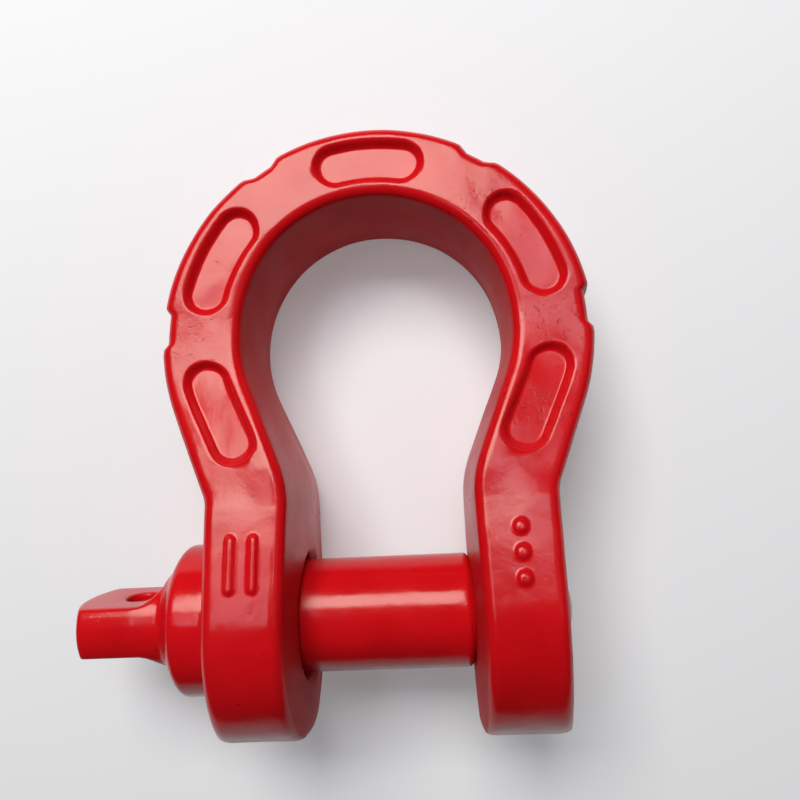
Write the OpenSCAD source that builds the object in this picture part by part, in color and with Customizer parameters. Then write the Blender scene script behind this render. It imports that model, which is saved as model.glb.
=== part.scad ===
// Bow shackle with a screw pin, lying on its back on a flat floor. Millimetres.
// X runs along the pin towards its screwed end, Y from the pin to the crown, Z up.
// The origin is on the pin's axis, half way between the two eyes.

/* [Pin] */
// Diameter of the plain shank
pin_d = 22.2; // [16:0.1:30]
// Step in radius from the shank down to the screwed end
thread_step = 1.2; // [0.6:0.1:2]
// Length that the tip stands out of the screwed eye
tip_out = 1.3; // [0.5:0.1:6]
// Height of the tip's dome
tip_h = 7.5; // [2:0.1:10]
// Diameter of the collar that seats on the plain eye
collar_d = 30; // [27:0.1:32]
// Thickness of the collar up to the start of its shoulder
collar_t = 7.5; // [5:0.1:10]
// Rounding of the collar's edge beside its seat
collar_edge = 2; // [0.5:0.1:3]
// Length of the collar's shoulder, which falls to the neck
shoulder_l = 4.8; // [3:0.1:7]
// Diameter of the neck behind the collar
neck_d = 18.8; // [16:0.1:22]
// Length of the head, from the collar's seat to the end of the paddle
head_l = 30.9; // [28:0.1:40]
// Width of the paddle
paddle_w = 20; // [18:0.1:24]
// Thickness of the paddle
paddle_t = 9.8; // [7:0.1:12]
// Radius of the paddle's end, seen square to its flats
paddle_end_r = 18; // [14:0.5:30]
// Radius at the foot of the flare from the flats up to the neck
flare_r = 4.5; // [3:0.5:8]
// Steepest angle of that flare
flare_a = 45; // [30:1:50]
// Length of the flare, from the flats to the neck
flare_l = 4.8; // [4:0.1:8]
// Diameter of the lanyard hole through the paddle
lanyard_d = 6.8; // [4:0.1:8]
// Distance of the lanyard hole from the paddle's end
lanyard_in = 12.4; // [9:0.1:13]

/* [Bow] */
// Gap between the eyes, at the parting line
jaw_w = 31.8; // [28:0.1:40]
// Widest inside width of the bow, at the parting line
bow_w = 51.8; // [46:0.1:64]
// Inside length, from the shank to the crown
inside_l = 71.5; // [64:0.1:90]
// Thickness of each leg along the pin, at the parting line
leg_w = 19; // [16:0.1:24]
// Radial width of the arch at its widest place, at the parting line
side_w = 18.3; // [16:0.1:22]
// Radial width of the arch at the crown, at the parting line
arch_w = 16.8; // [16:0.1:22]
// Depth of the arch from its front face to its back face
arch_depth = 27; // [24:0.1:34]
// Outside diameter of the eyes
eye_d = 46.7; // [44:0.1:56]
// Angle at which the lower arch runs in to the legs
leg_slope = 22; // [18:0.5:26]
// Radius of the bend between the lower arch and a leg
bend_r = 14; // [11:0.5:18]
// Height above the pin at which the legs begin to grow deeper
taper_y = 52; // [46:0.5:60]
// Half length of the smooth start of that taper
taper_run = 9; // [4:0.5:12]

/* [Forging] */
// Draft of the inner walls
draft_in = 4.5; // [2:0.5:7]
// Draft of the outer walls
draft_out = 7; // [3:0.5:9]
// Rounding of the long edges
edge_r = 2.2; // [1:0.1:3]
// Rounding of the eye's lower corners
corner_r = 2.6; // [1:0.1:4]
// Thinning of each side of the eye towards its lower rim
rim_thin = 0.8; // [0:0.1:1.5]

/* [Recesses] */
// Width of the pockets in the front and back faces
pocket_w = 9; // [6:0.1:9]
// Depth of the pockets
pocket_depth = 1.5; // [0.5:0.1:2.5]
// Run of the pockets' sloping walls
pocket_wall = 1.7; // [0.8:0.1:2.5]
// Half angle that the crown pocket covers
crown_span = 18.5; // [12:0.5:22]
// Angle above the widest point at which a side pocket starts
side_from = 8; // [5:0.5:14]
// Angle above the widest point at which a side pocket ends
side_to = 46.5; // [38:0.5:48]
// Distance of a lower pocket's end from the bend above the leg
lower_end = 2.4; // [1:0.1:4]
// Lean of the lower pockets, in towards the jaw
lower_lean = 3.5; // [0:0.5:4]
// Depth of the scallops in the outer edge
scallop_depth = 1.2; // [0:0.1:2]
// Half angle that a scallop covers
scallop_span = 6; // [4:0.5:7]
// Angle of the scallop between the side pocket and the lower pocket
scallop_side = 3.3; // [2:0.1:5]
// Angle of the scallop between the crown pocket and the side pocket
scallop_top = 57.5; // [55:0.5:60]

/* [Fits] */
// Radial gap round the shank in the plain eye
eye_gap = 1.15; // [0.5:0.05:2]
// Radial running fit of the screwed end
screw_gap = 0.05; // [0.02:0.01:0.1]
// Gap between the collar and its seat
seat_gap = 0.1; // [0.05:0.05:0.3]
// Chamfer at the mouths of the eyes
mouth = 1.6; // [0.5:0.1:2.5]

/* [Hidden] */

enamel = [0.78, 0.08, 0.11];
fine = 96;
over = 1;
sink = 1;

// Steps along half of the bow: round the eye, up the leg and round the bend
eye_n = 22;
leg_n = 4;
bend_n = 4;
// Steps round a pocket's end, along a pocket, and between the bend and each pocket in turn
end_n = 7;
pocket_n = 7;
below_n = 2;
side_n = 9;
top_n = 14;
// Steps round each long edge, and along each turned curve
edge_n = 3;
turn_n = 10;
// Angle at which the eye's rim ends in the narrow land at the parting line
rim_end = 87;
// Half widths of the two point rows that are kept on the faces where there is no pocket
row_wide = 0.6;
row_narrow = 0.3;
// Part of the section's half depth that the edge rounding may take
round_share = 0.6;
// Arc angle of a scallop's ramp
ramp = 2;
// Place on the path where there is no pocket
no_pocket = -1000;

pin_r = pin_d / 2;
thread_r = pin_r - thread_step;
eye_r = eye_d / 2;
arch_h = arch_depth / 2;
arch_r = bow_w / 2 + side_w / 2;
arch_y = pin_r + inside_l + arch_w / 2 - arch_r;
leg_x = jaw_w / 2 + leg_w / 2;
eye_x = jaw_w / 2 + leg_w;
// Where the arch turns into the straight slope
slope_x = arch_r * cos(leg_slope);
slope_y = arch_y - arch_r * sin(leg_slope);
bend_y = slope_y + ((leg_x + bend_r - slope_x) * cos(leg_slope) - bend_r) / sin(leg_slope);
slope_l = (slope_y - bend_y - bend_r * sin(leg_slope)) / cos(leg_slope);
slope_s = -arc(arch_r, leg_slope);
bend_s = slope_s - slope_l;
// Slope of the leg's faces, tangent to the round of the eye
taper = atan2(taper_y, arch_h) - acos(eye_r / norm([taper_y, arch_h]));
// Angle at which the bow lies, with the eyes and the back of the crown on the floor
crown_y = arch_y + arch_r + edge_at(arch_w / 2, arch_h, draft_out, edge_r);
lie = atan2(crown_y, arch_h - edge_r)
    - acos((eye_r - edge_r) / norm([crown_y, arch_h - edge_r]));
// Seat of the collar on the plain eye, cut square through the draft of its outer face
seat_rim = 0.6;
seat_r = collar_d / 2 + seat_rim;
seat_x = eye_x - seat_r * tan(draft_out);
collar_x = seat_x + seat_gap;
collar_r = collar_d / 2;
neck_r = neck_d / 2;
shoulder_x = -collar_x - collar_t;
root_x = shoulder_x - shoulder_l;
end_x = -collar_x - head_l;
// The shank stops just inside the jaw, and a relief groove parts it from the screwed end
shank_in = 0.5;
relief = 0.6;
relief_l = 1.5;
shank_x = jaw_w / 2 - shank_in;
relief_r = thread_r - relief;
relief_x = shank_x + pin_r - relief_r;
tip_x = eye_x + tip_out;

function mix(a, b, t) = a + (b - a) * t;
function clamp(t) = max(0, min(1, t));
function ease(t) = clamp(t) * clamp(t) * (3 - 2 * clamp(t));
function arc(r, a) = r * a * PI / 180;
// Centre of an edge rounding, measured from the section's middle
function edge_at(w, h, draft, r) = w - tan(draft) * (h - r) - r / cos(draft);

// Points of the bow's path, each with its place, its outward direction and its length along the arch
function on_arch(a) = [arch_r * cos(a), arch_y + arch_r * sin(a), cos(a), sin(a), arc(arch_r, a)];
function on_slope(t) = [
    slope_x - t * sin(leg_slope), slope_y - t * cos(leg_slope),
    cos(leg_slope), -sin(leg_slope), slope_s - t
];
function on_bend(a) = [
    leg_x + bend_r - bend_r * cos(a), bend_y + bend_r * sin(a), cos(a), -sin(a), no_pocket
];
function on_leg(y) = [leg_x, y, 1, 0, no_pocket];
function on_path(s) = s < slope_s ? on_slope(slope_s - s) : on_arch(s / arc(arch_r, 1));

// Pockets, from end to end along the arch: the lower one, the side one and the crown's
lower_a = bend_s + lower_end;
lower_b = -arc(arch_r, side_from);
side_a = arc(arch_r, side_from);
side_b = arc(arch_r, side_to);
crown_a = arc(arch_r, 90 - crown_span);
crown_b = arc(arch_r, 90 + crown_span);
pockets = [[lower_a, lower_b], [side_a, side_b], [crown_a, crown_b]];
pocket_r = pocket_w / 2;

// Lengths along the path: even steps, and steps that close up towards a pocket's end
function even(a, b, n) = [for (i = [1:n]) mix(a, b, i / n)];
function leaving(a, w) = [for (i = [1:end_n]) a + w * (1 - cos(90 * i / end_n))];
function nearing(b, w) = [for (i = [1:end_n]) b - w * (1 - sin(90 * i / end_n))];
function along(a, b) = concat(
    leaving(a, pocket_r), even(a + pocket_r, b - pocket_r, pocket_n), nearing(b, pocket_r)
);
stops = concat(
    even(bend_s, lower_a, below_n), along(lower_a, lower_b),
    even(lower_b, side_a, side_n), along(side_a, side_b),
    even(side_b, crown_a, top_n), leaving(crown_a, pocket_r),
    even(crown_a + pocket_r, arc(arch_r, 90), pocket_n - below_n)
);

half_path = concat(
    [for (i = [0:eye_n]) on_leg(eye_r * sin(mix(-rim_end, taper, i / eye_n)))],
    [for (i = [1:leg_n]) on_leg(mix(eye_r * sin(taper), bend_y, i / leg_n))],
    [for (i = [1:bend_n]) on_bend(leg_slope * i / bend_n)],
    [for (s = stops) on_path(s)]
);

// Half depth of the bow at a height above the pin
function half_depth(y) =
    y < eye_r * sin(taper) ? sqrt(eye_r * eye_r - y * y)
    : y < taper_y - taper_run ? arch_h + (taper_y - y) * tan(taper)
    : y < taper_y + taper_run ? arch_h + tan(taper) * pow(taper_y + taper_run - y, 2) / (4 * taper_run)
    : arch_h;
// Width of the section, from the leg to the widest place of the arch and on to the crown
function full_width(y) =
    y < arch_y ? mix(leg_w, side_w, ease((y - bend_y) / (arch_y - bend_y)))
    : mix(side_w, arch_w, ease((y - arch_y) / arch_r));
// Half width of the section, with the eye's lower part thinned and its corners rounded off
function half_width(y) =
    full_width(y) / 2
    - rim_thin * pow(max(0, -y) / eye_r, 2)
    - (y + eye_r < corner_r ? corner_r - sqrt(pow(corner_r, 2) - pow(corner_r - y - eye_r, 2)) : 0);

// Scallops and pockets, by length along the arch
function scallop(s, a) =
    ease((scallop_span - abs(s / arc(arch_r, 1) - a)) / ramp);
function outer_cut(s) = scallop_depth * max(scallop(s, scallop_side), scallop(s, scallop_top));
// Distance into a pocket from its nearer end
function into(s) = max([for (p = pockets) min(s - p[0], p[1] - s)]);
// Shift of a lower pocket's middle towards the jaw
function leaning(s) = tan(lower_lean) * max(0, lower_b - max(s, lower_a));
// Half width of a round-ended slot of half width w, at a distance u from its end
function slot(u, w) = u <= 0 ? 0 : u < w ? sqrt(w * w - (w - u) * (w - u)) : w;

// One section across the bow, from the inner parting line over the front to the outer one and back
function section(p) =
    let (
        w = half_width(p[1]),
        wo = w - outer_cut(p[4]),
        h = half_depth(p[1]),
        r = min(edge_r, round_share * h),
        ci = -edge_at(w, h, draft_in, r),
        co = edge_at(wo, h, draft_out, r),
        cp = (ci + co) / 2 - leaning(p[4]),
        u = into(p[4]),
        rim = max(row_wide, slot(u, pocket_r)),
        bed = max(row_narrow, slot(u - pocket_wall, pocket_r - pocket_wall)),
        deep = pocket_depth * clamp(u / pocket_wall),
        front = concat(
            [for (i = [0:edge_n]) let (a = mix(draft_in, 90, i / edge_n))
                [ci - r * cos(a), h - r + r * sin(a)]],
            [[cp - rim, h], [cp - bed, h - deep], [cp + bed, h - deep], [cp + rim, h]],
            [for (i = [0:edge_n]) let (a = mix(90, draft_out, i / edge_n))
                [co + r * cos(a), h - r + r * sin(a)]]
        ),
        n = len(front)
    )
    concat([[-w, 0]], front, [[wo, 0]], [for (i = [n - 1:-1:0]) [front[i][0], -front[i][1]]]);
function ring(p, side) =
    [for (q = section(p)) [side * (p[0] + q[0] * p[2]), p[1] + q[0] * p[3], q[1]]];

// The forged blank: sections joined from one eye over the crown to the other eye
module blank() {
    last = len(half_path) - 1;
    rings = concat(
        [for (p = half_path) ring(p, 1)],
        [for (i = [last - 1:-1:0]) ring(half_path[i], -1)]
    );
    points = [for (g = rings) each g];
    m = len(rings[0]);
    n = len(rings);
    // Each four-sided patch is split along its shorter diagonal
    sides = [
        for (i = [0:n - 2]) for (j = [0:m - 1])
            let (a = i * m + j, b = i * m + (j + 1) % m, c = a + m, d = b + m)
            each norm(points[a] - points[d]) < norm(points[b] - points[c])
                ? [[a, d, b], [a, c, d]] : [[a, c, b], [b, c, d]]
    ];
    foot_a = [for (j = [0:m - 1]) j];
    foot_b = [for (j = [m - 1:-1:0]) (n - 1) * m + j];
    polyhedron(points = points, faces = concat(sides, [foot_a, foot_b]), convexity = 10);
}

// A round along the pin's axis from x0 to x1, with a radius at each end
module round_x(x0, x1, r0, r1) {
    translate([x0, 0, 0])
        rotate([0, 90, 0])
            cylinder(h = x1 - x0, r1 = r0, r2 = r1, $fn = fine);
}

// A turned shape about the pin's axis, from points of radius and place
module turned(points) {
    rotate([0, 90, 0])
        rotate_extrude($fn = fine)
            polygon(points);
}

// Plain eye: clearance hole, chamfered on the inside, and the collar's seat
module plain_eye_cut() {
    r = pin_r + eye_gap;
    round_x(-eye_x - over, -jaw_w / 2 + over, r, r);
    round_x(-jaw_w / 2 - mouth, -jaw_w / 2 + over, r, r + mouth + over);
    round_x(-eye_x - over, -seat_x, seat_r, seat_r);
}

// Screwed eye: the hole at the screw's diameter, countersunk inside and chamfered outside
module screwed_eye_cut() {
    r = thread_r + screw_gap;
    round_x(jaw_w / 2 - over, eye_x + over, r, r);
    round_x(jaw_w / 2 - over, jaw_w / 2 + mouth, r + mouth + over, r);
    round_x(eye_x - mouth, eye_x + over, r, r + mouth + over);
}

module bow() {
    color(enamel)
        difference() {
            rotate([-lie, 0, 0])
                blank();
            plain_eye_cut();
            screwed_eye_cut();
        }
}

// Collar with its shoulder, the shank and the screwed end, in one turning
module pin_body() {
    shoulder = [
        for (i = [turn_n:-1:0]) let (t = i / turn_n)
            [mix(neck_r, collar_r, (1 + cos(180 * t)) / 2), shoulder_x - shoulder_l * t]
    ];
    tip = [
        for (i = [0:turn_n]) let (a = 90 * i / turn_n)
            [thread_r * cos(a), tip_x - tip_h + tip_h * sin(a)]
    ];
    bead_r = collar_r - collar_edge;
    bead = [
        for (i = [0:turn_n]) let (a = 90 * i / turn_n)
            [bead_r + collar_edge * cos(a), -collar_x - collar_edge + collar_edge * sin(a)]
    ];
    turned(concat(
        [[0, root_x]],
        shoulder,
        bead,
        [[pin_r, -collar_x], [pin_r, shank_x]],
        [[relief_r, relief_x], [relief_r, relief_x + relief_l], [thread_r, relief_x + relief_l + relief]],
        tip
    ));
}

// Paddle: a round bar with a crowned end, flattened to the paddle's thickness
module paddle() {
    bar_r = paddle_w / 2;
    half_t = paddle_t / 2;
    flat_x = root_x - flare_l;
    end_a = asin(bar_r / paddle_end_r);
    bar = concat(
        [for (i = [0:turn_n]) let (a = end_a * i / turn_n)
            [paddle_end_r * sin(a), end_x + paddle_end_r * (1 - cos(a))]],
        [[bar_r, flat_x], [neck_r, root_x], [neck_r, root_x + sink], [0, root_x + sink]]
    );
    flare = [
        for (i = [0:turn_n]) let (a = flare_a * i / turn_n)
            [flat_x + flare_r * sin(a), half_t + flare_r * (1 - cos(a))]
    ];
    foot = flare[turn_n];
    top_x = root_x + sink + over;
    top_y = foot[1] + (top_x - foot[0]) * tan(flare_a);
    upper = concat([[end_x - over, half_t]], flare, [[top_x, top_y]]);
    lower = [for (i = [len(upper) - 1:-1:0]) [upper[i][0], -upper[i][1]]];
    difference() {
        intersection() {
            turned(bar);
            linear_extrude(height = paddle_w + 2 * over, center = true)
                polygon(concat(upper, lower));
        }
        translate([end_x + lanyard_in, 0, 0])
            rotate([90, 0, 0])
                cylinder(h = paddle_w, d = lanyard_d, center = true, $fn = fine);
    }
}

module screw_pin() {
    color(enamel)
        union() {
            pin_body();
            paddle();
        }
}

bow();
screw_pin();
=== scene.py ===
"""Screw pin bow shackle: a red enamelled forging, lying on its back on a pale studio floor.

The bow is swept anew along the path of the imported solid, finely enough for a gloss finish, and its
two eyes are bored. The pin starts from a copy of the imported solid. The screwed end and the tapped
eye get their thread.
"""

import logging
import math
from collections.abc import Callable, Iterator
from contextlib import contextmanager
from dataclasses import dataclass
from enum import Enum

import bpy
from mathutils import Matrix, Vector


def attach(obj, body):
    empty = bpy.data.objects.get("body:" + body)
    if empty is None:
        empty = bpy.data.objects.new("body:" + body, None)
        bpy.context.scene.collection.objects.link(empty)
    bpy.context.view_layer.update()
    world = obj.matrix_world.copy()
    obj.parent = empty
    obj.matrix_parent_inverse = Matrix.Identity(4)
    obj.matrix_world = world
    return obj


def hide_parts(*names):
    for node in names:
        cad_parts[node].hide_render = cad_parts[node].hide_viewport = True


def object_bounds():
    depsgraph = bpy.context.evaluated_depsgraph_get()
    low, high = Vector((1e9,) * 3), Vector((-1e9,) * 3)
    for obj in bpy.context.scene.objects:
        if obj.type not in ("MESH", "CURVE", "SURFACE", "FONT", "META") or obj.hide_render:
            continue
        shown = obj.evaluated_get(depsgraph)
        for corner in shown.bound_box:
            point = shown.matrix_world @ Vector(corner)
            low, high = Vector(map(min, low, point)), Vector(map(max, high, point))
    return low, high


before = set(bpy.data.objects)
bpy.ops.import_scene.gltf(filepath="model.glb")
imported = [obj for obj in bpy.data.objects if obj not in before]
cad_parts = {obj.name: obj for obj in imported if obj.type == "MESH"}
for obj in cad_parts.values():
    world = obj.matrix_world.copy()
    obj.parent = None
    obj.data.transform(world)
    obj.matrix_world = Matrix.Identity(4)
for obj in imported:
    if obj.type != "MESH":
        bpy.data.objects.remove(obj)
CAD_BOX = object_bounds()

LOG = logging.getLogger("shackle")
MM = 0.001
# Mesh attribute of the bow: 1 where its sides were trimmed after forging, 0 on its faces.
TRIMMED = "trimmed"


class Body(str, Enum):
    """The two bodies that pieces ride on."""

    BOW = "bow"
    PIN = "screw_pin"


class Slot(str, Enum):
    """The two finishes, by name."""

    BOW = "enamel"
    PIN = "pin_enamel"


class Leg(Enum):
    """Legs of the bow, by the sign of X."""

    PLAIN = -1
    SCREWED = 1


def linear(code: str) -> tuple[float, float, float, float]:
    """Turns an sRGB hex colour into linear RGBA.

    Args:
        code: Colour such as "#C4121B".

    Returns:
        Linear red, green, blue and an alpha of 1.
    """
    channels = [int(code[i : i + 2], 16) / 255 for i in (1, 3, 5)]
    values = [c / 12.92 if c <= 0.04045 else ((c + 0.055) / 1.055) ** 2.4 for c in channels]
    return (values[0], values[1], values[2], 1.0)


def per_mm(size: float) -> float:
    """Texture scale on Object coordinates for a pattern of this size in millimetres."""
    return 1 / (size * MM)


def clamp(value: float) -> float:
    """Value kept between 0 and 1."""
    return min(1.0, max(0.0, value))


def ease(value: float) -> float:
    """Smooth step from 0 to 1."""
    t = clamp(value)
    return t * t * (3 - 2 * t)


def ramp(value: float, run: float, soft: float) -> float:
    """Straight ramp from 0 to 1 with both its corners rounded.

    Args:
        value: Distance past the foot of the ramp.
        run: Length of the ramp.
        soft: Half length of each rounded corner.

    Returns:
        Height of the ramp, from 0 to 1.
    """

    def rounded(x: float) -> float:
        """Zero, then rising one in one, with a rounded corner between.

        Args:
            x: Distance past the corner.

        Returns:
            Height at that distance.
        """
        if x <= -soft:
            return 0.0
        return x if x >= soft else (x + soft) ** 2 / (4 * soft)

    return (rounded(value) - rounded(value - run)) / run


def add_node(
    tree: bpy.types.NodeTree,
    kind: str,
    options: dict[str, object] | None = None,
    values: dict[str | int, object] | None = None,
    links: dict[str | int, bpy.types.NodeSocket] | None = None,
) -> bpy.types.Node:
    """Adds a shader node with its settings and links.

    Args:
        tree: Node tree that takes the node.
        kind: Node type.
        options: Node attributes by name.
        values: Input values by socket name or number.
        links: Output sockets to join, by input name or number.

    Returns:
        The new node.
    """
    node = tree.nodes.new(kind)
    for key, value in (options or {}).items():
        setattr(node, key, value)
    for key, value in (values or {}).items():
        node.inputs[key].default_value = value
    for key, socket in (links or {}).items():
        tree.links.new(socket, node.inputs[key])
    return node


def pick(obj: bpy.types.Object) -> None:
    """Leaves one object alone selected and active.

    Args:
        obj: Object to pick.
    """
    bpy.ops.object.select_all(action="DESELECT")
    obj.select_set(True)
    bpy.context.view_layer.objects.active = obj


@contextmanager
def editing(obj: bpy.types.Object, kind: str = "VERT") -> Iterator[None]:
    """Opens an object in edit mode with everything selected, and closes it again.

    Args:
        obj: Object to edit.
        kind: Select mode, VERT, EDGE or FACE.

    Yields:
        Nothing.
    """
    pick(obj)
    bpy.ops.object.mode_set(mode="EDIT")
    bpy.ops.mesh.select_mode(type=kind)
    bpy.ops.mesh.select_all(action="SELECT")
    try:
        yield
    finally:
        bpy.ops.object.mode_set(mode="OBJECT")


def select_where(obj: bpy.types.Object, test: Callable[[Vector], bool]) -> None:
    """Selects the vertices of an object in edit mode by their place.

    Args:
        obj: Object in edit mode.
        test: Says whether a vertex at that place is selected.
    """
    bpy.ops.mesh.select_all(action="DESELECT")
    bpy.ops.object.mode_set(mode="OBJECT")
    for vertex in obj.data.vertices:
        vertex.select = test(vertex.co)
    bpy.ops.object.mode_set(mode="EDIT")


def finish_with(obj: bpy.types.Object, kind: str, **settings: object) -> None:
    """Adds a modifier and applies it.

    Args:
        obj: Object that takes the modifier.
        kind: Modifier type.
        **settings: Modifier attributes.
    """
    pick(obj)
    modifier = obj.modifiers.new(kind.lower(), kind)
    for key, value in settings.items():
        setattr(modifier, key, value)
    bpy.ops.object.modifier_apply(modifier=modifier.name)


def turned(name: str, profile: list[tuple[float, float]], sides: int = 128) -> bpy.types.Object:
    """Turns a round about the pin's axis, ring by ring.

    Args:
        name: Name of the round.
        profile: Place along the axis and radius of each ring, in millimetres.
        sides: Number of points round each ring.

    Returns:
        The round, a closed shell.
    """
    (x, radius), *rest = profile
    bpy.ops.object.select_all(action="DESELECT")
    bpy.ops.mesh.primitive_circle_add(
        vertices=sides,
        radius=radius * MM,
        fill_type="NGON",
        location=(x * MM, 0, 0),
        rotation=(0, math.pi / 2, 0),
    )
    obj = bpy.context.object
    obj.name = obj.data.name = name
    bpy.ops.object.transform_apply(location=True, rotation=True, scale=True)
    with editing(obj, "FACE"):
        for next_x, next_r in rest:
            bpy.ops.mesh.extrude_region_move(
                TRANSFORM_OT_translate={"value": ((next_x - x) * MM, 0, 0)}
            )
            bpy.ops.transform.resize(
                value=(1, next_r / radius, next_r / radius),
                center_override=(next_x * MM, 0, 0),
            )
            x, radius = next_x, next_r
        bpy.ops.mesh.select_all(action="SELECT")
        bpy.ops.mesh.normals_make_consistent(inside=False)
    return obj


def coat(obj: bpy.types.Object, material: bpy.types.Material, body: Body) -> None:
    """Gives a finished piece its enamel and its place on a body.

    Args:
        obj: Finished piece.
        material: Enamel that covers it.
        body: Body that it rides on.
    """
    obj.data.materials.clear()
    obj.data.materials.append(material)
    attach(obj, body.value)
    LOG.info("%s: %d faces on %s", obj.name, len(obj.data.polygons), body.value)


@dataclass(frozen=True)
class ForgingEnamel:
    """Gloss alkyd enamel dipped over a forged and shot-blasted blank.

    It gives the eye a deep signal red under a clear gloss, with orange peel, a soft unevenness from
    the forging, a duller skin on the trimmed sides, and crowds of small dark flecks where scale was
    left on the blank.
    """

    name: str
    colour: str = "#DA121B"
    deep: str = "#CF0F18"
    fleck: str = "#AE0C14"
    ior: float = 1.38
    breakup: float = 0.55
    tone_mm: float = 16.0
    tone_span: tuple[float, float] = (0.36, 0.62)
    gloss_mm: float = 9.0
    gloss_span: tuple[float, float] = (0.3, 0.7)
    roughness: tuple[float, float] = (0.14, 0.25)
    trim_dull: float = 0.34
    scaled_at: tuple[tuple[float, float, float], ...] = (
        (34.0, 57.0, 11.0),
        (30.5, 42.0, 11.0),
        (23.0, 82.0, 9.0),
        (-38.0, 60.0, 11.0),
    )
    scaled_mm: float = 11.0
    crowding: float = 0.17
    fleck_mm: float = 1.0
    fleck_span: tuple[float, float] = (0.68, 0.8)
    fleck_depth: float = 0.16
    swells: tuple[tuple[float, float], ...] = ((5.5, 0.9), (2.4, 0.22), (0.9, 0.14))
    relief_mm: float = 0.1

    def material(self) -> bpy.types.Material:
        """Builds the enamel's node material.

        Returns:
            The material.
        """
        mat = bpy.data.materials.new(self.name)
        mat.use_nodes = True
        tree = mat.node_tree
        shader = tree.nodes["Principled BSDF"]
        shader.inputs["IOR"].default_value = self.ior
        place = add_node(tree, "ShaderNodeTexCoord").outputs["Object"]
        flecks = self._flecks(tree, place)
        self._colour(tree, shader, place, flecks)
        self._gloss(tree, shader, place)
        self._relief(tree, shader, place, flecks)
        return mat

    def _flecks(
        self, tree: bpy.types.NodeTree, place: bpy.types.NodeSocket
    ) -> bpy.types.NodeSocket:
        """Marks the flecks that crowd where scale was left on the blank.

        Args:
            tree: Material's node tree.
            place: Object coordinates.

        Returns:
            Socket that is 1 in a fleck and 0 off the flecks.
        """
        nearest = None
        for spot in self.scaled_at:
            away = add_node(
                tree,
                "ShaderNodeVectorMath",
                options={"operation": "DISTANCE"},
                values={1: tuple(part * MM for part in spot)},
                links={0: place},
            ).outputs["Value"]
            if nearest is not None:
                away = add_node(
                    tree,
                    "ShaderNodeMath",
                    options={"operation": "MINIMUM"},
                    links={0: nearest, 1: away},
                ).outputs[0]
            nearest = away
        crowd = add_node(
            tree,
            "ShaderNodeMapRange",
            values={"From Min": self.scaled_mm * MM, "From Max": 0.0, "To Max": self.crowding},
            links={"Value": nearest},
        )
        grain = add_node(
            tree,
            "ShaderNodeTexNoise",
            values={"Scale": per_mm(self.fleck_mm), "Detail": 2.0, "Roughness": self.breakup},
            links={"Vector": place},
        )
        crowded = add_node(
            tree,
            "ShaderNodeMath",
            options={"operation": "ADD"},
            links={0: crowd.outputs["Result"], 1: grain.outputs["Fac"]},
        )
        return add_node(
            tree,
            "ShaderNodeMapRange",
            values={"From Min": self.fleck_span[0], "From Max": self.fleck_span[1]},
            links={"Value": crowded.outputs[0]},
        ).outputs["Result"]

    def _colour(
        self,
        tree: bpy.types.NodeTree,
        shader: bpy.types.Node,
        place: bpy.types.NodeSocket,
        flecks: bpy.types.NodeSocket,
    ) -> None:
        """Lets the coat run thicker and deeper in soft patches, and darkens it in the flecks.

        Args:
            tree: Material's node tree.
            shader: Principled shader.
            place: Object coordinates.
            flecks: Mask of the flecks.
        """
        patch = add_node(
            tree,
            "ShaderNodeTexNoise",
            values={"Scale": per_mm(self.tone_mm), "Detail": 3.0, "Roughness": self.breakup},
            links={"Vector": place},
        )
        tone = add_node(tree, "ShaderNodeValToRGB", links={"Fac": patch.outputs["Fac"]})
        first, last = tone.color_ramp.elements
        first.position, last.position = self.tone_span
        first.color, last.color = linear(self.deep), linear(self.colour)
        flecked = add_node(
            tree,
            "ShaderNodeMix",
            options={"data_type": "RGBA"},
            values={7: linear(self.fleck)},
            links={0: flecks, 6: tone.outputs["Color"]},
        )
        tree.links.new(flecked.outputs[2], shader.inputs["Base Color"])

    def _gloss(
        self, tree: bpy.types.NodeTree, shader: bpy.types.Node, place: bpy.types.NodeSocket
    ) -> None:
        """Varies the gloss as a dipped coat does, and dulls it on the trimmed sides.

        Args:
            tree: Material's node tree.
            shader: Principled shader.
            place: Object coordinates.
        """
        patch = add_node(
            tree,
            "ShaderNodeTexNoise",
            values={"Scale": per_mm(self.gloss_mm), "Detail": 4.0, "Roughness": self.breakup},
            links={"Vector": place},
        )
        spread = add_node(
            tree,
            "ShaderNodeMapRange",
            values={
                "From Min": self.gloss_span[0],
                "From Max": self.gloss_span[1],
                "To Min": self.roughness[0],
                "To Max": self.roughness[1],
            },
            links={"Value": patch.outputs["Fac"]},
        )
        side = add_node(tree, "ShaderNodeAttribute", options={"attribute_name": TRIMMED})
        total = add_node(
            tree,
            "ShaderNodeMath",
            options={"operation": "MULTIPLY_ADD"},
            values={1: self.trim_dull},
            links={0: side.outputs["Fac"], 2: spread.outputs["Result"]},
        )
        tree.links.new(total.outputs[0], shader.inputs["Roughness"])

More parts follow.
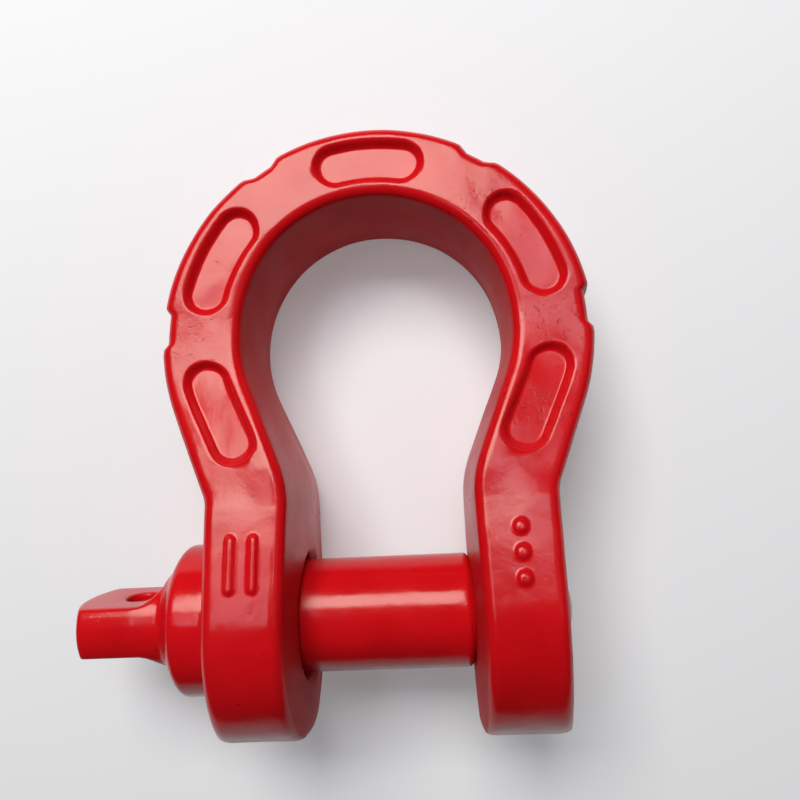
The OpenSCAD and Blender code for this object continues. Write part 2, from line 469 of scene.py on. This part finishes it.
    def _relief(
        self,
        tree: bpy.types.NodeTree,
        shader: bpy.types.Node,
        place: bpy.types.NodeSocket,
        flecks: bpy.types.NodeSocket,
    ) -> None:
        """Adds forging unevenness, orange peel and the shallow flecks as one bump.

        Args:
            tree: Material's node tree.
            shader: Principled shader.
            place: Object coordinates.
            flecks: Mask of the flecks.
        """
        layers = []
        for size, weight in self.swells:
            swell = add_node(
                tree,
                "ShaderNodeTexNoise",
                values={"Scale": per_mm(size), "Detail": 1.5, "Roughness": self.breakup},
                links={"Vector": place},
            )
            layers.append((swell.outputs["Fac"], weight))
        height = None
        for layer, weight in (*layers, (flecks, -self.fleck_depth)):
            links = {0: layer} if height is None else {0: layer, 2: height}
            height = add_node(
                tree,
                "ShaderNodeMath",
                options={"operation": "MULTIPLY_ADD"},
                values={1: weight, 2: 0.0},
                links=links,
            ).outputs[0]
        bump = add_node(
            tree,
            "ShaderNodeBump",
            values={"Strength": 1.0, "Distance": self.relief_mm * MM},
            links={"Height": height},
        )
        tree.links.new(bump.outputs["Normal"], shader.inputs["Normal"])


@dataclass(frozen=True)
class StudioPaper:
    """Matt pale background paper.

    It gives the eye a plain, nearly white floor that keeps the shackle's soft shadow.
    """

    name: str = "studio_paper"
    seen: str = "#E0E3ED"
    glow: float = 0.21
    bounce: str = "#CBCCD1"
    roughness: float = 0.9
    specular: float = 0.1

    def material(self) -> bpy.types.Material:
        """Builds the paper: pale where it is seen, directly or in gloss, and greyer as a bounce.

        Returns:
            The material.
        """
        mat = bpy.data.materials.new(self.name)
        mat.use_nodes = True
        tree = mat.node_tree
        shader = tree.nodes["Principled BSDF"]
        path = add_node(tree, "ShaderNodeLightPath")
        sight = path.outputs["Is Camera Ray"]
        for ray in ("Is Glossy Ray", "Is Transmission Ray"):
            sight = add_node(
                tree,
                "ShaderNodeMath",
                options={"operation": "MAXIMUM"},
                links={0: sight, 1: path.outputs[ray]},
            ).outputs[0]
        tone = add_node(
            tree,
            "ShaderNodeMix",
            options={"data_type": "RGBA"},
            values={6: linear(self.bounce), 7: linear(self.seen)},
            links={0: sight},
        )
        tree.links.new(tone.outputs[2], shader.inputs["Base Color"])
        lift = add_node(
            tree,
            "ShaderNodeMath",
            options={"operation": "MULTIPLY"},
            values={1: self.glow},
            links={0: sight},
        )
        tree.links.new(lift.outputs[0], shader.inputs["Emission Strength"])
        shader.inputs["Roughness"].default_value = self.roughness
        shader.inputs["Specular IOR Level"].default_value = self.specular
        return mat


@dataclass(frozen=True)
class ScrewThread:
    """One ridge of a right-hand screw thread round the pin's axis, in millimetres."""

    name: str
    start_x: float
    turns: int
    foot_r: float
    crest_r: float
    foot_w: float
    crest_w: float
    pitch: float = 2.8
    steps: int = 72
    weld: float = 0.001
    crease: float = math.radians(35)

    def _profile(self) -> bpy.types.Object:
        """Draws the ridge's section over the axis, narrower at the crest than at the foot.

        Returns:
            The section, one face.
        """
        middle = (self.foot_r + self.crest_r) / 2
        bpy.ops.object.select_all(action="DESELECT")
        bpy.ops.mesh.primitive_plane_add(
            size=1.0,
            location=(self.start_x * MM, 0, middle * MM),
            rotation=(math.pi / 2, 0, 0),
        )
        obj = bpy.context.object
        obj.name = obj.data.name = self.name
        tall = abs(self.crest_r - self.foot_r) * MM
        obj.scale = (self.foot_w * MM, tall, 1)
        bpy.ops.object.transform_apply(location=True, rotation=True, scale=True)
        outward = self.crest_r > self.foot_r
        with editing(obj):
            select_where(obj, lambda co: (co.z > middle * MM) == outward)
            bpy.ops.transform.resize(
                value=(self.crest_w / self.foot_w, 1, 1),
                center_override=(self.start_x * MM, 0, self.crest_r * MM),
            )
        return obj

    def _close(self, ridge: bpy.types.Object) -> None:
        """Closes the wound ridge at both its ends.

        Args:
            ridge: Wound ridge.
        """
        with editing(ridge, "EDGE"):
            bpy.ops.mesh.remove_doubles(threshold=self.weld * MM)
            bpy.ops.mesh.select_all(action="DESELECT")
            bpy.ops.mesh.select_non_manifold()
            bpy.ops.mesh.fill()
            bpy.ops.mesh.select_all(action="SELECT")
            bpy.ops.mesh.normals_make_consistent(inside=False)

    def build(self, limit: Callable[[float, float], float]) -> bpy.types.Object:
        """Winds the ridge and runs it out at its ends.

        Args:
            limit: Gives the radius of a point from its place along the axis and its radius.

        Returns:
            The ridge, a closed shell.
        """
        obj = self._profile()
        finish_with(
            obj,
            "SCREW",
            axis="X",
            angle=math.tau,
            screw_offset=self.pitch * MM,
            iterations=self.turns,
            steps=self.steps,
            render_steps=self.steps,
            use_merge_vertices=False,
        )
        for vertex in obj.data.vertices:
            radius = math.hypot(vertex.co.y, vertex.co.z)
            factor = limit(vertex.co.x / MM, radius / MM) * MM / radius
            vertex.co.y *= factor
            vertex.co.z *= factor
        self._close(obj)
        pick(obj)
        bpy.ops.object.shade_smooth_by_angle(angle=self.crease)
        return obj


@dataclass(frozen=True)
class Station:
    """One place on the bow's middle line, in the bow's own plane, in millimetres."""

    x: float
    y: float
    out_x: float
    out_y: float
    arch: float | None = None


@dataclass(frozen=True)
class BowPath:
    """Middle line and section sizes of the bow, in millimetres and radians."""

    pin_r: float = 11.1
    jaw_w: float = 31.8
    bow_w: float = 51.8
    inside_l: float = 71.5
    leg_w: float = 19.0
    side_w: float = 18.3
    arch_w: float = 16.8
    arch_depth: float = 27.0
    eye_d: float = 46.7
    slope: float = math.radians(22)
    bend_r: float = 14.0
    taper_y: float = 52.0
    taper_run: float = 9.0
    corner_r: float = 2.6
    rim_thin: float = 0.8

    @property
    def eye_r(self) -> float:
        """Outside radius of the eyes."""
        return self.eye_d / 2

    @property
    def arch_h(self) -> float:
        """Half depth of the arch."""
        return self.arch_depth / 2

    @property
    def arch_r(self) -> float:
        """Radius of the arch's middle line."""
        return (self.bow_w + self.side_w) / 2

    @property
    def arch_y(self) -> float:
        """Height of the arch's centre above the pin."""
        return self.pin_r + self.inside_l + self.arch_w / 2 - self.arch_r

    @property
    def leg_x(self) -> float:
        """Distance of each leg's middle from the middle of the jaw."""
        return (self.jaw_w + self.leg_w) / 2

    @property
    def slope_start(self) -> tuple[float, float]:
        """Place where the arch turns into the straight slope."""
        x, fall = self.arch_r * math.cos(self.slope), self.arch_r * math.sin(self.slope)
        return (x, self.arch_y - fall)

    @property
    def bend_y(self) -> float:
        """Height at which the leg starts to bend outwards.

        Returns:
            Height above the pin.
        """
        x, y = self.slope_start
        reach = (self.leg_x + self.bend_r - x) * math.cos(self.slope) - self.bend_r
        return y + reach / math.sin(self.slope)

    @property
    def slope_arch(self) -> float:
        """Length along the arch where the slope starts, below the widest point."""
        return -self.arch_r * self.slope

    @property
    def bend_arch(self) -> float:
        """Length along the path where the bend starts, below the widest point."""
        fall = self.slope_start[1] - self.bend_y - self.bend_r * math.sin(self.slope)
        return self.slope_arch - fall / math.cos(self.slope)

    @property
    def taper(self) -> float:
        """Slope of the legs' faces, tangent to the round of the eye."""
        reach = math.hypot(self.taper_y, self.arch_h)
        return math.atan2(self.taper_y, self.arch_h) - math.acos(self.eye_r / reach)

    def on_path(self, arch: float) -> Station:
        """Finds a place on the slope or the arch.

        Args:
            arch: Length along the path from the widest point, less than 0 below it.

        Returns:
            The station there.
        """
        if arch < self.slope_arch:
            x, y = self.slope_start
            down = self.slope_arch - arch
            sine, cosine = math.sin(self.slope), math.cos(self.slope)
            return Station(x - down * sine, y - down * cosine, cosine, -sine, arch)
        a = arch / self.arch_r
        sine, cosine = math.sin(a), math.cos(a)
        return Station(
            self.arch_r * cosine, self.arch_y + self.arch_r * sine, cosine, sine, arch
        )

    def half(self, ends: list[float], reach: float) -> list[Station]:
        """Stations of the right half, from the eye's lower rim to the crown.

        Args:
            ends: Lengths along the arch of places that need close stations.
            reach: Distance from those places over which stations stay close.

        Returns:
            The stations in order.
        """
        rim, eye_n, leg_step, bend_n = math.radians(87), 48, 0.3, 10
        close, wide = 0.28, 0.85
        stations = []
        for i in range(eye_n + 1):
            a = -rim + (self.taper + rim) * i / eye_n
            stations.append(Station(self.leg_x, self.eye_r * math.sin(a), 1, 0))
        low = self.eye_r * math.sin(self.taper)
        leg_n = round((self.bend_y - low) / leg_step)
        for i in range(1, leg_n + 1):
            y = low + (self.bend_y - low) * i / leg_n
            stations.append(Station(self.leg_x, y, 1, 0))
        for i in range(1, bend_n + 1):
            a = self.slope * i / bend_n
            x = self.leg_x + self.bend_r * (1 - math.cos(a))
            y = self.bend_y + self.bend_r * math.sin(a)
            stations.append(Station(x, y, math.cos(a), -math.sin(a)))
        top = self.arch_r * math.pi / 2
        arch = self.bend_arch
        while arch < top - wide:
            arch += close if any(abs(arch - end) < reach for end in ends) else wide
            stations.append(self.on_path(arch))
        stations.append(self.on_path(top))
        return stations

    def half_depth(self, y: float) -> float:
        """Works out the half depth of the bow.

        Args:
            y: Height above the pin.

        Returns:
            Half depth at that height.
        """
        rise = math.tan(self.taper)
        if y < self.eye_r * math.sin(self.taper):
            return math.sqrt(self.eye_r**2 - y * y)
        if y < self.taper_y - self.taper_run:
            return self.arch_h + (self.taper_y - y) * rise
        if y < self.taper_y + self.taper_run:
            left = self.taper_y + self.taper_run - y
            return self.arch_h + rise * left**2 / (4 * self.taper_run)
        return self.arch_h

    def half_width(self, y: float) -> float:
        """Works out the half width, thinned and rounded off at the eye's lower rim.

        Args:
            y: Height above the pin.

        Returns:
            Half width at the parting line.
        """
        if y < self.arch_y:
            t = ease((y - self.bend_y) / (self.arch_y - self.bend_y))
            width = (self.leg_w + (self.side_w - self.leg_w) * t) / 2
        else:
            t = ease((y - self.arch_y) / self.arch_r)
            width = (self.side_w + (self.arch_w - self.side_w) * t) / 2
        width -= self.rim_thin * (max(0.0, -y) / self.eye_r) ** 2
        up = y + self.eye_r
        if up < self.corner_r:
            width -= self.corner_r - math.sqrt(self.corner_r**2 - (self.corner_r - up) ** 2)
        return width


@dataclass(frozen=True)
class Pocket:
    """A round-ended pocket sunk in a face of the arch, in millimetres along and across it."""

    start: float
    end: float
    width: float = 9.0
    depth: float = 1.5
    wall: float = 1.25
    lean: float = 0.0
    soft: float = 0.28

    def sunk(self, arch: float, across: float) -> float:
        """Depth of the pocket at a place on the face.

        Args:
            arch: Length along the arch.
            across: Distance outwards from the face's middle.

        Returns:
            Depth below the face.
        """
        half = self.width / 2
        across += self.lean * (self.end - min(max(arch, self.start), self.end))
        past = max(self.start + half - arch, arch - self.end + half, 0.0)
        inside = half - math.hypot(past, across)
        return self.depth * ramp(inside, self.wall, self.soft)


@dataclass(frozen=True)
class Tally:
    """A raised tally mark of the forger: a dot, or a bar along the leg, in millimetres."""

    leg: Leg
    across: float
    y: float
    length: float
    radius: float
    height: float = 0.6
    flank: float = 0.55
    soft: float = 0.25

    def raised(self, leg: int, across: float, y: float) -> float:
        """Height of the mark at a place on the leg's face.

        Args:
            leg: Sign of the leg's X.
            across: Distance outwards from the face's middle.
            y: Height above the pin.

        Returns:
            Height above the face.
        """
        if leg != self.leg.value:
            return 0.0
        past = max(0.0, abs(y - self.y) - self.length / 2)
        inside = self.radius - math.hypot(past, across - self.across)
        return self.height * ramp(inside, self.flank, self.soft)


@dataclass
class BowForging:
    """The bow: one drafted forging with a round arch, two legs and two eyes, in millimetres."""

    enamel: ForgingEnamel
    path: BowPath = BowPath()
    lie: float = math.radians(5.9382)
    draft_in: float = math.radians(4.5)
    draft_out: float = math.radians(7)
    edge_r: float = 2.2
    round_share: float = 0.6
    parting_soft: float = 4.0
    lower_end: float = 2.4
    lower_lean: float = math.radians(3.5)
    pocket_gap: float = math.radians(8)
    side_top: float = math.radians(46.5)
    crown_span: float = math.radians(18.5)
    scallop_depth: float = 1.2
    scallop_span: float = math.radians(6)
    scallop_lead: float = 0.1
    scallops: tuple[tuple[float, float], ...] = (
        (math.radians(3.3), math.radians(2.4)),
        (math.radians(57.5), math.radians(4)),
    )
    tallies: tuple[Tally, ...] = (
        Tally(Leg.PLAIN, -2.1, 12.6, 8.4, 1.0),
        Tally(Leg.PLAIN, 2.1, 12.6, 8.4, 1.0),
        Tally(Leg.SCREWED, 0.0, 8.4, 0.0, 1.45),
        Tally(Leg.SCREWED, 0.0, 12.8, 0.0, 1.45),
        Tally(Leg.SCREWED, 0.0, 17.2, 0.0, 1.45),
    )
    unevenness: float = 0.17
    unevenness_size: float = 8.0
    seat_x: float = 32.985
    seat_r: float = 15.6
    plain_r: float = 12.25
    screwed_r: float = 9.95
    mouth_r: float = 2.4
    mouth_sweep: float = math.pi / 2 * 0.92
    mouth_flare: float = 1.5
    cutter_over: float = 3.0
    countersink: tuple[tuple[float, float], ...] = (
        (-3.0, 0.0),
        (-2.3, 0.3),
        (-1.6, 0.85),
        (1.8, 4.25),
    )
    face_slope: float = 0.6
    side_slope: float = 0.3
    thick_y: float = 24.0
    thick_reach: float = 26.0
    thick_share: float = 0.7
    weld: float = 0.0005
    crease: float = math.radians(58)
    thread_ends: tuple[float, float] = (19.2, 29.6)
    thread: ScrewThread = ScrewThread(
        "tapped_thread",
        start_x=17.3,
        turns=5,
        foot_r=10.05,
        crest_r=8.62,
        foot_w=2.3,
        crest_w=0.45,
    )

    def pockets(self) -> list[Pocket]:
        """Lower, side and crown pocket of one half, by their length along the arch.

        Returns:
            The three pockets.
        """
        r, top = self.path.arch_r, math.pi / 2
        lower = Pocket(
            self.path.bend_arch + self.lower_end,
            -r * self.pocket_gap,
            lean=math.tan(self.lower_lean),
        )
        side = Pocket(r * self.pocket_gap, r * self.side_top)
        crown = Pocket(r * (top - self.crown_span), r * (top + self.crown_span))
        return [lower, side, crown]

    def _outer_cut(self, arch: float | None) -> float:
        """Works out the depth of the scallops in the outer edge.

        Args:
            arch: Length along the arch, or None on the legs.

        Returns:
            Depth below the plain edge.
        """
        if arch is None:
            return 0.0
        a = arch / self.path.arch_r
        span, lead = self.scallop_span, self.scallop_lead
        near = (ease((span - abs(a - at)) / run + lead) for at, run in self.scallops)
        return self.scallop_depth * max(near)

    def _wall(self, reach: float, draft: float, h: float) -> list[tuple[float, float]]:
        """Works out one wall, up from the parting line and round its edge to the face.

        Args:
            reach: Half width at the parting line.
            draft: Lean of the wall.
            h: Half depth of the section.

        Returns:
            Points outwards from the middle line and up from the parting plane.
        """
        wall_n, edge_n = 8, 8
        r = min(self.edge_r, self.round_share * h)
        foot = h - r + r * math.sin(draft)
        soft = self.parting_soft
        lost = math.tan(draft) * foot / (math.hypot(foot, soft) - soft)
        points = []
        for i in range(wall_n):
            z = foot * i / wall_n
            points.append((reach - lost * (math.hypot(z, soft) - soft), z))
        middle = reach - math.tan(draft) * (h - r) - r / math.cos(draft)
        for i in range(edge_n + 1):
            a = draft + (math.pi / 2 - draft) * i / edge_n
            points.append((middle + r * math.cos(a), h - r + r * math.sin(a)))
        return points

    def _section(self, at: Station, leg: int, pockets: list[Pocket]) -> list[tuple[float, float]]:
        """Works out one section, from the inner parting line over the front and back again.

        Args:
            at: Place on the path.
            leg: Sign of X of the half.
            pockets: Pockets of one half.

        Returns:
            Points outwards from the middle line and up from the parting plane.
        """
        flat_n, bunch = 44, 0.1
        width, h = self.path.half_width(at.y), self.path.half_depth(at.y)
        inner_wall = self._wall(width, self.draft_in, h)
        outer_wall = self._wall(width - self._outer_cut(at.arch), self.draft_out, h)
        left, right = -inner_wall[-1][0], outer_wall[-1][0]
        centre = (left + right) / 2
        face, back = [], []
        for i in range(1, flat_n):
            t = 2 * i / flat_n - 1
            across = centre + (right - left) / 2 * (t + bunch * math.sin(math.tau * t))
            sunk = raised = 0.0
            if at.arch is not None:
                sunk = sum(pocket.sunk(at.arch, across - centre) for pocket in pockets)
            elif at.y < self.path.bend_y:
                raised = sum(mark.raised(leg, across - centre, at.y) for mark in self.tallies)
            face.append((across, h - sunk + raised))
            back.append((across, -h + sunk))
        front = [(-w, z) for w, z in inner_wall] + face + outer_wall[::-1]
        rear = [(w, -z) for w, z in outer_wall[1:]] + back[::-1]
        return front + rear + [(-w, -z) for w, z in inner_wall[:0:-1]]

    def _blank(self) -> bpy.types.Object:
        """Sweeps the forged blank: a grid wrapped round the path, closed at its seam and feet.

        Returns:
            The blank, a closed shell.
        """
        pockets = self.pockets()
        close, margin = pockets[0].width / 2, 0.6
        ends = [p.start + close / 2 for p in pockets] + [p.end - close / 2 for p in pockets]
        half = self.path.half(ends, close / 2 + margin)
        run = [(at, 1) for at in half] + [(at, -1) for at in half[-2::-1]]
        rings = []
        sine, cosine = math.sin(self.lie), math.cos(self.lie)
        for at, leg in run:
            ring = []
            for across, z in self._section(at, leg, pockets):
                x, y = leg * (at.x + across * at.out_x), at.y + across * at.out_y
                ring.append(Vector((x, y * cosine + z * sine, z * cosine - y * sine)) * MM)
            rings.append(ring + ring[:1])
        columns, rows = len(rings[0]) - 1, len(rings) - 1
        bpy.ops.object.select_all(action="DESELECT")
        bpy.ops.mesh.primitive_grid_add(x_subdivisions=columns, y_subdivisions=rows, size=1.0)
        obj = bpy.context.object
        obj.name = obj.data.name = "bow_forging"
        for vertex in obj.data.vertices:
            column = round((vertex.co.x + 0.5) * columns)
            row = round((vertex.co.y + 0.5) * rows)
            vertex.co = rings[row][column]
        with editing(obj):
            bpy.ops.mesh.remove_doubles(threshold=self.weld * MM)
            bpy.ops.mesh.fill_holes(sides=0)
            bpy.ops.mesh.select_all(action="SELECT")
            bpy.ops.mesh.normals_make_consistent(inside=False)
        return obj

    def _mouth(self, face_x: float, radius: float, way: int) -> list[tuple[float, float]]:
        """Profile of a rounded mouth that opens a bore towards a face.

        Args:
            face_x: Place of the face along the axis.
            radius: Radius of the bore.
            way: Sign of X in which the mouth opens.

        Returns:
            Place and radius of each ring, from the bore outwards.
        """
        count, big = 8, self.mouth_r
        points = []
        for i in range(count + 1):
            a = self.mouth_sweep * i / count
            x = face_x - way * big * (1 - math.sin(a))
            points.append((x, radius + big * (1 - math.cos(a))))
        points.append((face_x + way * self.cutter_over, points[-1][1] + self.mouth_flare))
        return points

    def _bore(self, bow: bpy.types.Object) -> None:
        """Bores the plain eye with its collar seat and the screwed eye.

        Args:
            bow: Blank to bore.
        """
        jaw, outer = self.path.jaw_w / 2, self.path.jaw_w / 2 + self.path.leg_w
        plain = [
            (-outer - self.cutter_over, self.seat_r),
            (-self.seat_x, self.seat_r),
            (-self.seat_x, self.plain_r),
            *self._mouth(-jaw, self.plain_r, 1),
        ]
        screwed = self._mouth(jaw, self.screwed_r, -1)[::-1]
        screwed += [(outer + step, self.screwed_r + rise) for step, rise in self.countersink]
        for name, profile in (("plain_eye_cutter", plain), ("screwed_eye_cutter", screwed)):
            cutter = turned(name, profile)
            finish_with(bow, "BOOLEAN", operation="DIFFERENCE", solver="EXACT", object=cutter)
            bpy.data.objects.remove(cutter)

    def _mark_sides(self, bow: bpy.types.Object) -> None:
        """Marks the trimmed sides, less so half way up the legs, where the coat ran thick.

        Args:
            bow: Finished bow.
        """
        mark = bow.data.attributes.new(TRIMMED, "FLOAT", "POINT")
        for vertex in bow.data.vertices:
            slope = abs(vertex.normal.z)
            side = clamp((self.face_slope - slope) / (self.face_slope - self.side_slope))
            thick = ease(1 - abs(vertex.co.y / MM - self.thick_y) / self.thick_reach)
            mark.data[vertex.index].value = side * (1 - self.thick_share * thick)

    def build(self) -> bpy.types.Object:
        """Forges the bow: a blank with a slightly uneven skin, then bored.

        Returns:
            The bow.
        """
        obj = self._blank()
        skin = bpy.data.textures.new("forged_skin", "CLOUDS")
        skin.noise_scale = self.unevenness_size * MM
        skin.noise_depth = 1
        finish_with(
            obj,
            "DISPLACE",
            texture=skin,
            texture_coords="LOCAL",
            mid_level=0.5,
            strength=self.unevenness * MM,
        )
        self._bore(obj)
        self._mark_sides(obj)
        pick(obj)
        bpy.ops.object.shade_smooth_by_angle(angle=self.crease)
        return obj

    def _run_out(self, x: float, radius: float) -> float:
        """Runs the tapped thread out at both mouths of its hole.

        Args:
            x: Place along the axis.
            radius: Radius of a point there.

        Returns:
            Radius that the point gets.
        """
        start, end = self.thread_ends
        left = self.thread.crest_r + max(0.0, start - x)
        right = self.thread.crest_r + max(0.0, x - end)
        return max(radius, min(max(left, right), self.thread.foot_r))

    def dress(self) -> None:
        """Makes the bow and its tapped thread and coats them."""
        material = self.enamel.material()
        bow = self.build()
        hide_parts("bow")
        coat(bow, material, Body.BOW)
        thread = self.thread.build(self._run_out)
        coat(thread, material, Body.BOW)


@dataclass
class ScrewPin:
    """The pin: flattened head with its hole, collar, shank and screwed end, in millimetres."""

    enamel: ForgingEnamel
    weld: float = 0.002
    voxel: float = 0.36
    smoothing: int = 5
    cut_x: float = 18.2
    core_lap: float = 0.6
    relief_x: float = 18.75
    relief_r: float = 9.2
    core_x: float = 19.2
    core_r: float = 8.45
    dome_x: float = 28.7
    dome_r: float = 9.9
    dome_h: float = 7.5
    thread_ends: tuple[float, float] = (18.9, 33.2)
    start_rise: float = 1.4
    end_sink: float = 0.3
    tip_cover: float = 0.02
    thread: ScrewThread = ScrewThread(
        "pin_thread",
        start_x=18.7,
        turns=5,
        foot_r=8.3,
        crest_r=9.78,
        foot_w=2.5,
        crest_w=0.45,
    )

    def build(self) -> bpy.types.Object:
        """Forges head, collar and shank, and cuts off the plain round of the screwed end.

        Returns:
            The forging.
        """
        name = "pin_forging"
        obj = bpy.data.objects.new(name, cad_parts["screw_pin"].data.copy())
        obj.data.name = name
        bpy.context.scene.collection.objects.link(obj)
        with editing(obj):
            bpy.ops.mesh.remove_doubles(threshold=self.weld * MM)
            bpy.ops.mesh.bisect(
                plane_co=(self.cut_x * MM, 0, 0),
                plane_no=(1, 0, 0),
                clear_outer=True,
                use_fill=True,
            )
        finish_with(obj, "REMESH", mode="VOXEL", voxel_size=self.voxel * MM)
        finish_with(obj, "SMOOTH", factor=0.5, iterations=self.smoothing)
        bpy.ops.object.shade_smooth()
        return obj

    def _envelope(self, x: float) -> float:
        """Radius of the rounded tip at a place along the axis."""
        t = max(0.0, (x - self.dome_x) / self.dome_h)
        return self.dome_r * math.sqrt(max(0.0, 1 - t * t))

    def _core(self) -> bpy.types.Object:
        """Turns the core of the screwed end, up to its rounded tip.

        Returns:
            The core, a closed shell.
        """
        profile = [
            (self.cut_x - self.core_lap, self.relief_r),
            (self.relief_x, self.relief_r),
            (self.core_x, self.core_r),
            (self.dome_x, self.core_r),
        ]
        count, sides = 24, 96
        for i in range(1, count):
            x = self.dome_x + self.dome_h * math.sin(math.pi / 2 * i / count)
            profile.append((x, min(self.core_r, self._envelope(x))))
        return turned("screwed_core", profile, sides)

    def _run_out(self, x: float, radius: float) -> float:
        """Keeps the thread under the rounded tip and runs it out at both its ends.

        Args:
            x: Place along the axis.
            radius: Radius of a point there.

        Returns:
            Radius that the point gets.
        """
        first, last = self.thread_ends
        start = self.thread.foot_r + max(0.0, x - first) * self.start_rise
        end = self.thread.foot_r - self.end_sink + max(0.0, last - x)
        return min(radius, start, end, self._envelope(x) - self.tip_cover)

    def dress(self) -> None:
        """Makes the pin and its thread and coats them."""
        material = self.enamel.material()
        pin = self.build()
        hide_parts("screw_pin")
        coat(pin, material, Body.PIN)
        thread = self.thread.build(self._run_out)
        core = self._core()
        pick(thread)
        core.select_set(True)
        bpy.ops.object.join()
        bpy.ops.object.shade_smooth_by_angle(angle=self.thread.crease)
        coat(thread, material, Body.PIN)


@dataclass(frozen=True)
class Softbox:
    """A rectangular lamp that hangs flat over the shackle, in millimetres and radiance."""

    name: str
    place: tuple[float, float, float]
    size: tuple[float, float]
    colour: str
    glow: float

    def hang(self) -> None:
        """Hangs the lamp, its power taken from its area and its glow."""
        lamp = bpy.data.lights.new(self.name, "AREA")
        lamp.shape = "RECTANGLE"
        lamp.size, lamp.size_y = (side * MM for side in self.size)
        lamp.color = linear(self.colour)[:3]
        lamp.energy = self.glow * math.pi * lamp.size * lamp.size_y
        box = bpy.data.objects.new(self.name, lamp)
        box.location = Vector(self.place) * MM
        bpy.context.scene.collection.objects.link(box)


@dataclass
class Studio:
    """Pale floor, softboxes, a weak sky and the camera.

    The key hangs over the crown, two weaker skirts draw its sheen out down the legs, and a large
    weak fill lifts the right side.
    """

    paper: StudioPaper
    camera_mm: tuple[float, float, float] = (11.088, 39.359, 141.939)
    camera_deg: tuple[float, float, float] = (1.313, 2.978, -2.976)
    lens: float = 31.099
    sensor: float = 36.0
    clip_m: float = 0.01
    floor_m: float = 6.0
    floor_gap: float = 0.08
    lamps: tuple[Softbox, ...] = (
        Softbox("key", (-170.0, 598.0, 720.0), (530.0, 474.0), "#FFFBEF", 11.7),
        Softbox("left_skirt", (-250.0, 215.0, 720.0), (120.0, 250.0), "#EFF2FF", 4.6),
        Softbox("right_skirt", (165.0, 385.0, 720.0), (140.0, 160.0), "#EFF2FF", 6.0),
        Softbox("fill", (650.0, 420.0, 900.0), (700.0, 700.0), "#FFFFFF", 0.25),
    )
    sky: float = 0.02

    def _floor(self) -> None:
        """Lays the floor just under the shackle."""
        bpy.ops.object.select_all(action="DESELECT")
        bpy.ops.mesh.primitive_plane_add(size=self.floor_m)
        floor = bpy.context.object
        floor.name = floor.data.name = "studio_floor"
        with editing(floor):
            bpy.ops.transform.translate(value=(0, 0, CAD_BOX[0][2] - self.floor_gap * MM))
        floor.data.materials.append(self.paper.material())

    def _sky(self) -> None:
        """Sets the weak even light of the room."""
        world = bpy.data.worlds.new("studio_room")
        world.use_nodes = True
        room = world.node_tree.nodes["Background"]
        room.inputs["Color"].default_value = (1, 1, 1, 1)
        room.inputs["Strength"].default_value = self.sky
        bpy.context.scene.world = world

    def _camera(self) -> None:
        """Puts the camera straight over the shackle, close to it, as in the photograph."""
        data = bpy.data.cameras.new("photo_camera")
        data.lens = self.lens
        data.sensor_width = self.sensor
        data.clip_start = self.clip_m
        camera = bpy.data.objects.new("photo_camera", data)
        camera.location = Vector(self.camera_mm) * MM
        camera.rotation_euler = [math.radians(angle) for angle in self.camera_deg]
        bpy.context.scene.collection.objects.link(camera)
        bpy.context.scene.camera = camera

    def build(self) -> None:
        """Sets the stage."""
        self._floor()
        self._sky()
        self._camera()
        for lamp in self.lamps:
            lamp.hang()
        bpy.context.scene.view_settings.view_transform = "Standard"
        LOG.info("studio: floor, %d lamps and camera", len(self.lamps))


def main() -> None:
    """Builds the shackle and its studio, and reports each piece."""
    logging.basicConfig(level=logging.INFO, format="%(name)s: %(message)s")
    BowForging(ForgingEnamel("bow_enamel")).dress()
    ScrewPin(ForgingEnamel("screw_pin_enamel")).dress()
    Studio(StudioPaper()).build()


if __name__ == "__main__":
    main()
